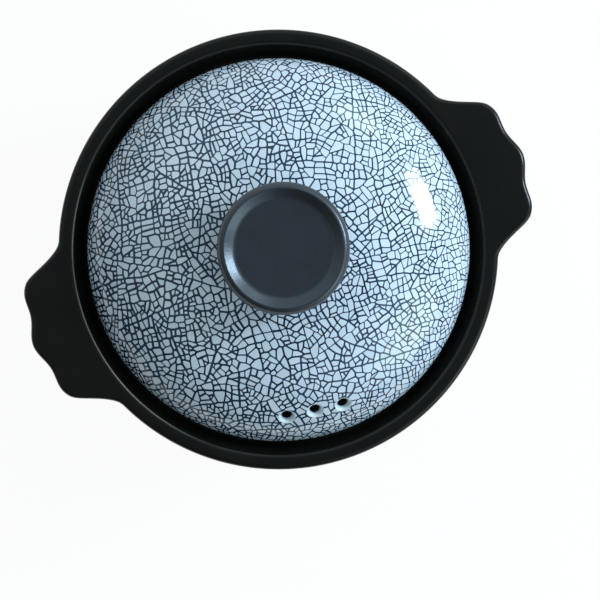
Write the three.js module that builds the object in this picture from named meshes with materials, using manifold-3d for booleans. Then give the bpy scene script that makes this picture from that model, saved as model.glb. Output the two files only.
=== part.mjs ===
// A donabe: a stoneware pot with two lobed ears, a domed lid with three steam holes and a dished knob.
// Millimetres, +Z up. The origin is the centre of the foot, +X runs through an ear and -Y is the front.

import * as THREE from "three";
import { mergeVertices } from "three/addons/utils/BufferGeometryUtils.js";
import Module from "manifold-3d";

const wasm = await Module();
wasm.setup();

// Rim of the pot, from the lid outwards
const LID_RADIUS = 89.5;
const LID_CLEARANCE = 1.7;
const GALLERY_FLARE = 4.4;
const GALLERY_DEPTH = 9;
const GALLERY_ROUNDING = 2;
const SEAT_WIDTH = 7.2;
const SEAT_ROUNDING = 1;
const RIM_WIDTH = 6.9;
const FLANGE_THICKNESS = 8.5;
const FLANGE_ROUNDING = 2.8;
const FLANGE_COVE = 3.6;

// Body of the pot
const POT_HEIGHT = 114;
const WALL = 10;
const WALL_DRAFT = 3;
const FLOOR = 9;
const CORNER_HEIGHT = 45;
const FOOT_RADIUS = 42;
const FOOT_WIDTH = 8;
const FOOT_RECESS = 2;
const FOOT_ROUNDING = 1;

// Ears, with angles in degrees about the pot's axis
const EAR_REACH = 19;
const EAR_HALF_SPAN = 18.5;
const EAR_FLANK = 10;
const EAR_CROWN = 6.4;
const LOBE_PITCH = 12;
const LOBE_DEPTH = 1.2;

// Lid
const LID_RISE = 35.3;
const LID_EDGE_HEIGHT = 2.4;
const LID_EDGE_ROUNDING = 1.2;
const LID_FOOT_WIDTH = 5;
const LID_THICKNESS = 6.5;
const LID_TURN = 9.2;
const KNOB_LAND_MARGIN = 1;
const VENT_RADIUS = 3;

// Steam holes
const HOLE_COUNT = 3;
const HOLE_RADIUS = 2.4;
const HOLE_PITCH = 13.3;
const HOLE_ROW_INSET = 13.5;
const MOUTH_RADIUS = 4.4;
const MOUTH_DEPTH = 2.6;

// Knob
const KNOB_HEIGHT = 24;
const KNOB_RADIUS = 29.5;
const KNOB_BASE_RADIUS = 22.6;
const KNOB_FOOT_WIDTH = 7;
const KNOB_TURN_HEIGHT = 16;
const KNOB_LIP_DROP = 4;
const KNOB_LIP = 3.1;
const DISH_DEPTH = 2.5;
const DISH_FLARE = 4.3;
const DISH_ROUNDING = 1.2;
const KNOB_FLOOR = 5;

// Facets
const POT_SEGMENTS = 80;
const LID_SEGMENTS = 64;
const KNOB_SEGMENTS = 40;
const HOLE_SEGMENTS = 18;
const EAR_CROWDING = 0.55;
const CURVE_STEPS = 8;
const FLANK_STEPS = 6;
const ROUNDING_STEPS = 3;

// Places that follow from the sizes
const galleryFoot = LID_RADIUS + LID_CLEARANCE;
const galleryEdge = galleryFoot + GALLERY_FLARE;
const flangeRadius = galleryEdge + RIM_WIDTH;
const flangeUnderside = POT_HEIGHT - FLANGE_THICKNESS;
const seatHeight = POT_HEIGHT - GALLERY_DEPTH;
const mouthRadius = galleryFoot - SEAT_WIDTH;
const wallTopRadius = mouthRadius + WALL;
const wallLowRadius = wallTopRadius - WALL_DRAFT;
const lidEquator = seatHeight + LID_EDGE_HEIGHT;
const landRadius = KNOB_BASE_RADIUS + KNOB_LAND_MARGIN;
const landHeight = domeHeight(landRadius);
const knobTop = landHeight + KNOB_HEIGHT;
const holeRowRadius = LID_RADIUS - HOLE_ROW_INSET;
const holeCutDepth = LID_THICKNESS + LID_FOOT_WIDTH;

// Height of the lid's outer face at a distance from the axis.
function domeHeight(radius) {
  return lidEquator + LID_RISE * Math.sqrt(1 - (radius / LID_RADIUS) ** 2);
}

// Points [radius, height] along part of an ellipse about [centreRadius, centreHeight].
function ellipse(centreRadius, centreHeight, reach, rise, fromAngle, toAngle) {
  const curve = new THREE.EllipseCurve(
    centreRadius, centreHeight, reach, rise, fromAngle, toAngle, toAngle < fromAngle);
  return curve.getPoints(CURVE_STEPS).map((point) => [point.x, point.y]);
}

// Turns corners [radius, height, rounding] into a profile. A rounding is how far a corner is cut back.
function profile(corners) {
  const points = [];
  corners.forEach(([radius, height, rounding = 0], i) => {
    const corner = new THREE.Vector2(radius, height);
    if (rounding === 0) {
      points.push(corner);
      return;
    }
    const [start, end] = [corners[i - 1], corners[i + 1]].map(([r, z]) => {
      const side = new THREE.Vector2(r, z).sub(corner);
      return side.setLength(Math.min(rounding, side.length() / 2)).add(corner);
    });
    points.push(...new THREE.QuadraticBezierCurve(start, corner, end).getPoints(ROUNDING_STEPS));
  });
  return points;
}

// Welds a geometry's vertices and leaves out the empty triangles at its poles.
function weld(geometry) {
  geometry.deleteAttribute("normal");
  geometry.deleteAttribute("uv");
  const welded = mergeVertices(geometry);
  const corners = welded.getIndex().array;
  const kept = [];
  for (let i = 0; i < corners.length; i += 3) {
    const [a, b, c] = corners.subarray(i, i + 3);
    if (a !== b && b !== c && c !== a) {
      kept.push(a, b, c);
    }
  }
  welded.setIndex(kept);
  return welded;
}

// Revolves a profile about the Z axis.
function revolve(points, segments) {
  return new THREE.LatheGeometry(points, segments).rotateX(Math.PI / 2);
}

// A solid for joins and cuts.
function toSolid(geometry) {
  const welded = weld(geometry);
  const vertProperties = new Float32Array(welded.getAttribute("position").array);
  const triVerts = new Uint32Array(welded.getIndex().array);
  return new wasm.Manifold(new wasm.Mesh({ numProp: 3, vertProperties, triVerts }));
}

function toGeometry(solid) {
  const { vertProperties, triVerts } = solid.getMesh();
  const geometry = new THREE.BufferGeometry();
  geometry.setAttribute("position", new THREE.BufferAttribute(vertProperties, 3));
  geometry.setIndex(new THREE.BufferAttribute(triVerts, 1));
  return geometry;
}

// How far the flange's edge stands out at an angle in radians: two ears, each with a wavy crest.
function earReach(angle) {
  const fold = Math.atan2(Math.abs(Math.sin(angle)), Math.abs(Math.cos(angle)));
  const fromEar = THREE.MathUtils.radToDeg(fold);
  const flank = EAR_FLANK / 2;
  const rise = 1 - THREE.MathUtils.smoothstep(fromEar, EAR_HALF_SPAN - flank, EAR_HALF_SPAN + flank);
  const crown = EAR_CROWN * (fromEar / EAR_HALF_SPAN) ** 2;
  const lobes = LOBE_DEPTH * Math.cos((2 * Math.PI * fromEar) / LOBE_PITCH);
  return rise * (EAR_REACH - crown + lobes);
}

// How much of the ear's reach a point of the profile takes. The upper face is drawn out from the middle
// of the rim, and the underside from the wall outwards, which leaves a long cove under each ear.
function earShare(radius, height) {
  if (height > POT_HEIGHT - FLANGE_THICKNESS / 2) {
    return radius > galleryEdge + RIM_WIDTH / 2 ? 1 : 0;
  }
  const overhang = flangeRadius - FLANGE_ROUNDING - wallTopRadius;
  return THREE.MathUtils.clamp((radius - wallTopRadius) / overhang, 0, 1);
}

// The pot: a revolved wall with a foot ring, a flange with its gallery, and ears drawn out of the flange.
function potBody() {
  const quarter = Math.PI / 2;
  const footInner = FOOT_RADIUS - FOOT_WIDTH;
  const innerLow = wallLowRadius - WALL;
  const points = profile([
    [0, FOOT_RECESS],
    [footInner, FOOT_RECESS, FOOT_ROUNDING],
    [footInner + FOOT_RECESS, 0],
    ...ellipse(FOOT_RADIUS, CORNER_HEIGHT, wallLowRadius - FOOT_RADIUS, CORNER_HEIGHT, -quarter, 0),
    [wallTopRadius, flangeUnderside, FLANGE_COVE],
    [flangeRadius, flangeUnderside, FLANGE_ROUNDING],
    [flangeRadius, POT_HEIGHT, FLANGE_ROUNDING],
    [galleryEdge, POT_HEIGHT, GALLERY_ROUNDING],
    [galleryFoot, seatHeight, SEAT_ROUNDING],
    [mouthRadius, seatHeight, SEAT_ROUNDING],
    ...ellipse(FOOT_RADIUS, CORNER_HEIGHT, innerLow - FOOT_RADIUS, CORNER_HEIGHT - FLOOR, 0, -quarter),
    [0, FLOOR],
  ]);
  const geometry = revolve(points, POT_SEGMENTS);
  const position = geometry.getAttribute("position");
  for (let i = 0; i < position.count; i += 1) {
    const [x, y, z] = [position.getX(i), position.getY(i), position.getZ(i)];
    const evenAngle = Math.atan2(y, x);
    const angle = evenAngle - (EAR_CROWDING / 2) * Math.sin(2 * evenAngle);
    const radius = Math.hypot(x, y);
    const reach = radius + earReach(angle) * earShare(radius, z);
    position.setXY(i, reach * Math.cos(angle), reach * Math.sin(angle));
  }
  return weld(geometry);
}

// One steam hole's cutter, with its mouth at the origin and its bore running down -Z.
function holeCutter() {
  const flare = ellipse(
    MOUTH_RADIUS, -MOUTH_DEPTH, MOUTH_RADIUS - HOLE_RADIUS, MOUTH_DEPTH, Math.PI, Math.PI / 2);
  return revolve(profile([
    [0, -holeCutDepth],
    [HOLE_RADIUS, -holeCutDepth],
    ...flare,
    [MOUTH_RADIUS, MOUTH_DEPTH],
    [0, MOUTH_DEPTH],
  ]), HOLE_SEGMENTS);
}

// The lid: a shell of two ellipses on a flat foot, with a flat land for the knob, a vent and steam holes.
function lidDome() {
  const landAngle = Math.acos(landRadius / LID_RADIUS);
  const innerReach = LID_RADIUS - LID_FOOT_WIDTH;
  const innerRise = landHeight - LID_THICKNESS - seatHeight;
  const ventAngle = Math.acos(VENT_RADIUS / innerReach);
  const corners = [
    [VENT_RADIUS, landHeight],
    ...ellipse(0, seatHeight, innerReach, innerRise, ventAngle, 0),
    [LID_RADIUS, seatHeight, LID_EDGE_ROUNDING],
    ...ellipse(0, lidEquator, LID_RADIUS, LID_RISE, 0, landAngle),
    [VENT_RADIUS, landHeight],
  ];
  let solid = toSolid(revolve(profile(corners), LID_SEGMENTS));
  for (let i = 0; i < HOLE_COUNT; i += 1) {
    const along = (i - (HOLE_COUNT - 1) / 2) * HOLE_PITCH;
    const height = domeHeight(Math.hypot(along, holeRowRadius));
    const normal = new THREE.Vector3(
      along / LID_RADIUS ** 2, -holeRowRadius / LID_RADIUS ** 2, (height - lidEquator) / LID_RISE ** 2);
    const turn = new THREE.Quaternion().setFromUnitVectors(new THREE.Vector3(0, 0, 1), normal.normalize());
    const cutter = holeCutter().applyQuaternion(turn).translate(along, -holeRowRadius, height);
    solid = solid.subtract(toSolid(cutter));
  }
  return toGeometry(solid);
}

// The knob: a tapered stub with a shallow dish, hollow underneath, standing on the lid's land.
function lidKnob() {
  const hollowRadius = KNOB_BASE_RADIUS - KNOB_FOOT_WIDTH;
  const dishFloor = knobTop - DISH_DEPTH;
  const ceiling = dishFloor - KNOB_FLOOR;
  const lipRadius = KNOB_RADIUS - KNOB_LIP;
  const flank = new THREE.QuadraticBezierCurve(
    new THREE.Vector2(KNOB_BASE_RADIUS, landHeight),
    new THREE.Vector2(KNOB_RADIUS, landHeight + KNOB_TURN_HEIGHT),
    new THREE.Vector2(KNOB_RADIUS, knobTop - KNOB_LIP_DROP));
  const shoulder = ellipse(lipRadius, knobTop - KNOB_LIP_DROP, KNOB_LIP, KNOB_LIP_DROP, 0, Math.PI / 2);
  return weld(revolve(profile([
    [0, ceiling],
    [hollowRadius, ceiling, DISH_ROUNDING],
    [hollowRadius, landHeight],
    ...flank.getPoints(FLANK_STEPS).slice(0, -1).map((point) => [point.x, point.y]),
    ...shoulder,
    [lipRadius - DISH_FLARE, dishFloor, DISH_ROUNDING],
    [0, dishFloor],
  ]), KNOB_SEGMENTS));
}

const blackGlaze = new THREE.MeshStandardMaterial({ color: 0x1b1d1a, roughness: 0.35, metalness: 0 });
const crackleGlaze = new THREE.MeshStandardMaterial({ color: 0xb9cdd8, roughness: 0.12, metalness: 0 });
const satinBlack = new THREE.MeshStandardMaterial({ color: 0x2b2d33, roughness: 0.55, metalness: 0 });

function piece(name, geometry, material) {
  const mesh = new THREE.Mesh(geometry, material);
  mesh.name = name;
  return mesh;
}

const lid = new THREE.Group();
lid.rotation.z = THREE.MathUtils.degToRad(-LID_TURN);
lid.add(piece("lid_dome", lidDome(), crackleGlaze));
lid.add(piece("lid_knob", lidKnob(), satinBlack));

const donabe = new THREE.Group();
donabe.add(piece("pot_body", potBody(), blackGlaze));
donabe.add(lid);

export default donabe;
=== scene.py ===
"""A donabe: a black stoneware pot, a lid with a crackle glaze and a satin knob.

Metres, +Z up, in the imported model's frame. +X runs through an ear and -Y is the front.
"""

import logging
import math
import random
from collections.abc import Iterable, Mapping, Sequence
from dataclasses import dataclass, field
from enum import Enum
from typing import Any

import bmesh
import bpy
import numpy as np
from mathutils import Matrix, Vector, noise

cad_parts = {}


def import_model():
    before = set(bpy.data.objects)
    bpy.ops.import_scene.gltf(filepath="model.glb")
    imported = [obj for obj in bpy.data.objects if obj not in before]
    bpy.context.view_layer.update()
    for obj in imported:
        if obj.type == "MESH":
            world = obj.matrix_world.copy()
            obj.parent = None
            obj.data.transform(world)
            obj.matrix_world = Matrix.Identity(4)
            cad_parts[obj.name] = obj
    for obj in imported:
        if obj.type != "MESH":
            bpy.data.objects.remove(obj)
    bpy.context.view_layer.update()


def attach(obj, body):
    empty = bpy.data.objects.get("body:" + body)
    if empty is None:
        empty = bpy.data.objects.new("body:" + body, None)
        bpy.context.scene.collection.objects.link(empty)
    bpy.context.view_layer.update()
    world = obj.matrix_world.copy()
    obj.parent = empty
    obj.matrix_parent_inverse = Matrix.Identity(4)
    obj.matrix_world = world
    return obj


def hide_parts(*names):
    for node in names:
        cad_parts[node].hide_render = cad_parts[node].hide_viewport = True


LOG = logging.getLogger("donabe")
IMAGE_WIDTH = 600
SENSOR_WIDTH = 36
NEAREST_SIGHT = 0.01
SEED_SIZE = 0.01
WELD_DISTANCE = 1e-5
SMOOTH_ANGLE = math.radians(38)
NOISE_RANGE = (0.3, 0.7)
BAKE_MAP = "OFBake"
CRACK_MARK = "crack"
CELL_TINT = "cell_tint"
THIN_EDGE_AND_HIGHLIGHT = "thin_edge_and_highlight"

Colour = tuple[float, float, float]
Point = tuple[float, float]
Edge = tuple[int, int]
Source = bpy.types.NodeSocket | Vector | Colour | float
Inputs = Mapping[str | int, Source]


class Body(Enum):
    """The bodies that move against each other."""

    POT = "pot"
    LID = "lid"


class Slot(Enum):
    """The record's finishes."""

    BLACK = "black_glaze"
    CRACKLE = "crackle_glaze"
    SATIN = "satin_black"


class PotFinish(Enum):
    """The pot's finishes, in the order of its material slots."""

    GLAZE = 0
    BARE = 1
    SEAT = 2


class LidFinish(Enum):
    """The lid's finishes, in the order of its material slots."""

    CRACKLE = 0
    PALE = 1
    BARE = 2
    BORE = 3


# Profiles and revolved pieces


@dataclass(frozen=True)
class Corner:
    """A corner of a profile, with how far its rounding cuts it back along each side."""

    radius: float
    height: float
    rounding: float = 0.0

    @property
    def place(self) -> Vector:
        """The corner as a flat vector."""
        return Vector((self.radius, self.height))


@dataclass(frozen=True)
class Ellipse:
    """An ellipse in a profile's plane."""

    radius: float
    height: float
    reach: float
    rise: float

    def corners(self, start: float, end: float, steps: int) -> list[Corner]:
        """Points along part of the ellipse.

        Args:
            start: Angle in degrees where the part starts.
            end: Angle in degrees where it ends.
            steps: Number of short sides.

        Returns:
            The points as plain corners.
        """
        turns = [math.radians(start + (end - start) * i / steps) for i in range(steps + 1)]
        return [
            Corner(self.radius + self.reach * math.cos(turn), self.height + self.rise * math.sin(turn))
            for turn in turns
        ]


def bend(start: Vector, lean: Vector, end: Vector, steps: int) -> list[Point]:
    """Points along a quadratic curve.

    Args:
        start: First point.
        lean: Point that the curve leans towards.
        end: Last point.
        steps: Number of short sides.

    Returns:
        The points, both ends included.
    """
    shares = [i / steps for i in range(steps + 1)]
    curve = [start * (1 - t) ** 2 + lean * (2 * t * (1 - t)) + end * t**2 for t in shares]
    return [(point.x, point.y) for point in curve]


def rounded(corners: Sequence[Corner], steps: int) -> list[Point]:
    """Turn corners into a profile with rounded corners.

    Args:
        corners: The profile's corners in order.
        steps: Number of short sides in each rounding.

    Returns:
        Points of radius and height.
    """
    points: list[Point] = []
    for before, corner, after in zip((corners[0], *corners), corners, (*corners[1:], corners[-1])):
        if corner.rounding == 0:
            points.append((corner.radius, corner.height))
            continue
        ends = []
        for other in (before, after):
            side = other.place - corner.place
            cut = min(corner.rounding, side.length / 2)
            ends.append(corner.place + side.normalized() * cut)
        points.extend(bend(ends[0], corner.place, ends[1], steps))
    return points


def deselect() -> None:
    """Leave nothing selected."""
    bpy.ops.object.select_all(action="DESELECT")


def activate(piece: bpy.types.Object) -> None:
    """Select one piece alone.

    Args:
        piece: The piece.
    """
    deselect()
    piece.select_set(True)
    bpy.context.view_layer.objects.active = piece


def revolve(name: str, points: Sequence[Point], steps: int) -> bpy.types.Object:
    """Draw a profile from one vertex and spin it about the Z axis.

    Args:
        name: Name of the new piece.
        points: Profile points of radius and height.
        steps: Number of segments around.

    Returns:
        The closed piece, facing outwards.
    """
    deselect()
    bpy.ops.mesh.primitive_plane_add(size=SEED_SIZE, calc_uvs=False)
    piece = bpy.context.active_object
    piece.name = name
    piece.data.name = name
    bpy.ops.object.mode_set(mode="EDIT")
    bpy.ops.mesh.merge(type="CENTER")
    bpy.ops.transform.translate(value=(points[0][0], 0, points[0][1]))
    for last, point in zip(points, points[1:]):
        step = (point[0] - last[0], 0, point[1] - last[1])
        bpy.ops.mesh.extrude_region_move(TRANSFORM_OT_translate={"value": step})
    bpy.ops.mesh.select_all(action="SELECT")
    bpy.ops.mesh.spin(steps=steps, angle=2 * math.pi, center=(0, 0, 0), axis=(0, 0, 1))
    bpy.ops.mesh.select_all(action="SELECT")
    bpy.ops.mesh.remove_doubles(threshold=WELD_DISTANCE)
    bpy.ops.mesh.normals_make_consistent(inside=False)
    bpy.ops.object.mode_set(mode="OBJECT")
    return piece


def smooth(piece: bpy.types.Object) -> None:
    """Shade a piece smoothly, with its true edges kept sharp."""
    activate(piece)
    bpy.ops.object.shade_smooth_by_angle(angle=SMOOTH_ANGLE)


def places(mesh: bpy.types.Mesh) -> np.ndarray:
    """Read all of a mesh's vertex places.

    Args:
        mesh: The mesh.

    Returns:
        One row for each vertex.
    """
    flat = np.empty(len(mesh.vertices) * 3)
    mesh.vertices.foreach_get("co", flat)
    return flat.reshape(-1, 3)


# Finishes


@dataclass
class NodeSheet:
    """A node tree with short calls that add and join nodes."""

    tree: bpy.types.NodeTree

    def join(self, source: Source, target: bpy.types.NodeSocket) -> None:
        """Give an input its value.

        Args:
            source: An output to join to the input, or a value to set on it.
            target: The input.
        """
        if isinstance(source, bpy.types.NodeSocket):
            self.tree.links.new(source, target)
        else:
            target.default_value = (*source, 1) if isinstance(source, tuple) else source

    def add(self, kind: str, inputs: Inputs | None = None, **settings: Any) -> bpy.types.Node:
        """Add a node.

        Args:
            kind: Blender's name of the node type.
            inputs: What goes into the node, by the name or number of the input.
            settings: Properties to set on the node first.

        Returns:
            The new node.
        """
        node = self.tree.nodes.new(kind)
        for name, value in settings.items():
            setattr(node, name, value)
        for name, source in (inputs or {}).items():
            self.join(source, node.inputs[name])
        return node

    def mark(self, name: str) -> bpy.types.NodeSocket:
        """Read one of the mesh's own attributes."""
        return self.add("ShaderNodeAttribute", attribute_name=name).outputs["Fac"]

    def combine(self, operation: str, first: Source, second: Source) -> bpy.types.NodeSocket:
        """Work out one number from two."""
        return self.add("ShaderNodeMath", {0: first, 1: second}, operation=operation).outputs["Value"]

    def noise(self, scale: Source, detail: float) -> bpy.types.NodeSocket:
        """Add a noise on the piece's own coordinates.

        Args:
            scale: Waves per metre.
            detail: Number of finer layers.

        Returns:
            The noise's value.
        """
        place = self.add("ShaderNodeTexCoord").outputs["Object"]
        node = self.add("ShaderNodeTexNoise", {"Vector": place, "Scale": scale, "Detail": detail})
        return node.outputs["Fac"]

    def mapped(self, source: Source, limits: Sequence[Source], **settings: Any) -> bpy.types.NodeSocket:
        """Map a value from the range of the first two limits to that of the last two."""
        inputs = dict(zip(("Value", "From Min", "From Max", "To Min", "To Max"), (source, *limits)))
        return self.add("ShaderNodeMapRange", inputs, **settings).outputs["Result"]

    def spread(self, source: Source, low: Source, high: Source) -> bpy.types.NodeSocket:
        """Map a noise, which keeps mostly to NOISE_RANGE, onto a range."""
        return self.mapped(source, (*NOISE_RANGE, low, high))

    def blend(self, share: Source, first: Source, second: Source, mode: str = "MIX") -> bpy.types.NodeSocket:
        """Mix two colours.

        Args:
            share: How much of the second colour shows.
            first: Colour below.
            second: Colour above.
            mode: How the two are mixed.

        Returns:
            The mixed colour.
        """
        node = self.add("ShaderNodeMix", data_type="RGBA", blend_type=mode)
        sockets = {socket.identifier: socket for socket in (*node.inputs, *node.outputs)}
        for name, source in (("Factor_Float", share), ("A_Color", first), ("B_Color", second)):
            self.join(source, sockets[name])
        return sockets["Result_Color"]


class FiredSurface:
    """Shared effect of a kiln: cloudy tone, uneven gloss and the ripple of a glaze."""

    NAME = "Fired surface"
    SOCKETS = (
        ("INPUT", "Tone", "NodeSocketColor"),
        ("INPUT", "Cloud Tone", "NodeSocketColor"),
        ("INPUT", "Cloud Scale", "NodeSocketFloat"),
        ("INPUT", "Grain Scale", "NodeSocketFloat"),
        ("INPUT", "Gloss Low", "NodeSocketFloat"),
        ("INPUT", "Gloss High", "NodeSocketFloat"),
        ("OUTPUT", "Tone", "NodeSocketColor"),
        ("OUTPUT", "Roughness", "NodeSocketFloat"),
        ("OUTPUT", "Ripple", "NodeSocketFloat"),
    )

    @classmethod
    def group(cls) -> bpy.types.NodeTree:
        """Find the node group, or build it on its first use.

        Returns:
            The node group.
        """
        if cls.NAME in bpy.data.node_groups:
            return bpy.data.node_groups[cls.NAME]
        tree = bpy.data.node_groups.new(cls.NAME, "ShaderNodeTree")
        for side, name, kind in cls.SOCKETS:
            tree.interface.new_socket(name=name, in_out=side, socket_type=kind)
        sheet = NodeSheet(tree)
        given = sheet.add("NodeGroupInput").outputs
        share = sheet.spread(sheet.noise(given["Cloud Scale"], detail=3), 0.0, 1.0)
        grain = sheet.noise(given["Grain Scale"], detail=2)
        sheet.add("NodeGroupOutput", {
            "Tone": sheet.blend(share, given["Tone"], given["Cloud Tone"]),
            "Roughness": sheet.spread(grain, given["Gloss Low"], given["Gloss High"]),
            "Ripple": grain,
        })
        return tree


@dataclass(frozen=True)
class FiredFinish:
    """A finish that the kiln leaves: bare clay or a plain glaze."""

    name: str
    tone: Colour
    cloud_tone: Colour
    cloud_scale: float
    grain_scale: float
    gloss_low: float
    gloss_high: float
    ripple_depth: float
    sheen: float = 0.5
    glint: Colour = (1.0, 1.0, 1.0)

    def shown(self, sheet: NodeSheet, tone: bpy.types.NodeSocket) -> bpy.types.NodeSocket:
        """The colour that shows, here the fired surface's own tone."""
        return tone

    def make(self) -> bpy.types.Material:
        """Build the material.

        Returns:
            The finished material.
        """
        material = bpy.data.materials.new(self.name)
        material.use_nodes = True
        sheet = NodeSheet(material.node_tree)
        given = {
            "Tone": self.tone,
            "Cloud Tone": self.cloud_tone,
            "Cloud Scale": self.cloud_scale,
            "Grain Scale": self.grain_scale,
            "Gloss Low": self.gloss_low,
            "Gloss High": self.gloss_high,
        }
        surface = sheet.add("ShaderNodeGroup", given, node_tree=FiredSurface.group()).outputs
        bump = sheet.add("ShaderNodeBump", {"Distance": self.ripple_depth, "Height": surface["Ripple"]})
        inputs = {
            "Base Color": self.shown(sheet, surface["Tone"]),
            "Roughness": surface["Roughness"],
            "Normal": bump.outputs["Normal"],
            "Specular IOR Level": self.sheen,
            "Specular Tint": self.glint,
        }
        for name, source in inputs.items():
            sheet.join(source, material.node_tree.nodes["Principled BSDF"].inputs[name])
        return material


@dataclass(frozen=True)
class CrackleFinish(FiredFinish):
    """A clear glaze over pale clay, with ink rubbed into its cracks."""

    ink: Colour = (0.003, 0.016, 0.037)
    worn_ink: Colour = (0.011, 0.045, 0.085)
    pale_cell: Colour = (1.0, 1.0, 1.0)
    dim_cell: Colour = (0.9, 0.92, 0.93)
    wear_scale: float = 160

    def shown(self, sheet: NodeSheet, tone: bpy.types.NodeSocket) -> bpy.types.NodeSocket:
        """The colour that shows, which reads the lid's own crack and tint attributes.

        Args:
            sheet: The material's nodes.
            tone: The fired surface's own tone.

        Returns:
            The colour.
        """
        shade = sheet.blend(sheet.mark(CELL_TINT), self.dim_cell, self.pale_cell)
        cells = sheet.blend(1.0, tone, shade, "MULTIPLY")
        fading = sheet.spread(sheet.noise(self.wear_scale, detail=2), 0.0, 1.0)
        lines = sheet.blend(fading, self.ink, self.worn_ink)
        return sheet.blend(sheet.mark(CRACK_MARK), cells, lines)


@dataclass(frozen=True)
class ThinGlazeAndHighlightFinish(FiredFinish):
    """A glaze that runs thin over a sharp edge and lets some of the clay through, with a painted highlight
    along that edge.
    """

    # Lighter tone of the thin glaze, which also paints a highlight along the edge.
    thin_glaze_and_highlight_tone: Colour = (0.42, 0.41, 0.36)
    thin_and_highlight_scale: float = 24
    thin_and_highlight_share: tuple[float, float] = (0.35, 1.0)

    def shown(self, sheet: NodeSheet, tone: bpy.types.NodeSocket) -> bpy.types.NodeSocket:
        """The colour that shows, which reads the pot's own edge attribute of thin glaze and painted
        highlight.
        """
        uneven = sheet.spread(sheet.noise(self.thin_and_highlight_scale, detail=2), *self.thin_and_highlight_share)
        return sheet.blend(sheet.combine("MULTIPLY", sheet.mark(THIN_EDGE_AND_HIGHLIGHT), uneven), tone, self.thin_glaze_and_highlight_tone)


BLACK_GLAZE = ThinGlazeAndHighlightFinish(
    name="black glaze",
    tone=(0.0025, 0.0028, 0.0022),
    cloud_tone=(0.0045, 0.0045, 0.0036),
    cloud_scale=38,
    grain_scale=420,
    gloss_low=0.2,
    gloss_high=0.25,
    ripple_depth=0.000004,
    sheen=0.24,
)
WIPED_GLAZE = FiredFinish(
    name="wiped black glaze",
    tone=BLACK_GLAZE.tone,
    cloud_tone=BLACK_GLAZE.cloud_tone,
    cloud_scale=BLACK_GLAZE.cloud_scale,
    grain_scale=900,
    gloss_low=0.5,
    gloss_high=0.6,
    ripple_depth=0.00001,
    sheen=0.06,
)
SATIN_GLAZE = FiredFinish(
    name="satin black glaze",
    tone=(0.0065, 0.0078, 0.0118),
    cloud_tone=(0.0098, 0.0115, 0.0165),
    cloud_scale=60,
    grain_scale=700,
    gloss_low=0.3,
    gloss_high=0.36,
    ripple_depth=0.00004,
    sheen=0.8,
    glint=(0.76, 0.9, 1.0),
)
PALE_GLAZE = FiredFinish(
    name="pale glaze",
    tone=(0.52, 0.62, 0.68),
    cloud_tone=(0.58, 0.67, 0.72),
    cloud_scale=45,
    grain_scale=350,
    gloss_low=0.1,
    gloss_high=0.16,
    ripple_depth=0.00003,
)
BARE_CLAY = FiredFinish(
    name="bare clay",
    tone=(0.2, 0.15, 0.105),
    cloud_tone=(0.27, 0.21, 0.15),
    cloud_scale=90,
    grain_scale=2600,
    gloss_low=0.75,
    gloss_high=0.9,
    ripple_depth=0.00012,
)
# Painted shade: the steam holes' bores are coloured near black, for the shade that falls inside them.
BORE_PAINTED_SHADE = FiredFinish(
    name="painted shade in bores",
    tone=(0.012, 0.013, 0.014),
    cloud_tone=(0.02, 0.02, 0.02),
    cloud_scale=90,
    grain_scale=2600,
    gloss_low=0.7,
    gloss_high=0.85,
    ripple_depth=0.00005,
)
CRACKLE_GLAZE = CrackleFinish(
    name="crackle glaze",
    tone=(0.58, 0.67, 0.76),
    cloud_tone=(0.62, 0.7, 0.77),
    cloud_scale=28,
    grain_scale=260,
    gloss_low=0.09,
    gloss_high=0.12,
    ripple_depth=0.00001,
)


# The pot


@dataclass(frozen=True)
class Rim:
    """Sizes where the lid meets the pot."""

    lid_radius: float = 0.0895
    lid_clearance: float = 0.0017
    gallery_flare: float = 0.0044
    gallery_depth: float = 0.009
    flange_width: float = 0.0069
    pot_height: float = 0.114

    @property
    def gallery_foot(self) -> float:
        """Radius at the bottom of the gallery's wall."""
        return self.lid_radius + self.lid_clearance

    @property
    def gallery_edge(self) -> float:
        """Radius at the top of the gallery's wall."""
        return self.gallery_foot + self.gallery_flare

    @property
    def flange_radius(self) -> float:
        """Radius of the flange between the ears."""
        return self.gallery_edge + self.flange_width

    @property
    def seat_height(self) -> float:
        """Height of the ring that the lid rests on."""
        return self.pot_height - self.gallery_depth


@dataclass(frozen=True)
class Ears:
    """Two lobed grips drawn out of the flange. Angles in degrees."""

    reach: float = 0.019
    half_span: float = 18.5
    flank: float = 10
    crown: float = 0.0064
    lobe_pitch: float = 12
    lobe_depth: float = 0.0012
    crowding: float = 0.55

    def reaches(self, angles: np.ndarray) -> np.ndarray:
        """How far the flange's edge stands out.

        Args:
            angles: Angles about the pot's axis, in radians.

        Returns:
            The reach at each angle, in metres.
        """
        from_ear = np.degrees(np.arctan2(np.abs(np.sin(angles)), np.abs(np.cos(angles))))
        share = np.clip((from_ear - self.half_span) / self.flank + 0.5, 0, 1)
        rise = 1 - share * share * (3 - 2 * share)
        crown = self.crown * (from_ear / self.half_span) ** 2
        lobes = self.lobe_depth * np.cos(2 * math.pi * from_ear / self.lobe_pitch)
        return rise * (self.reach - crown + lobes)


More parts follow.
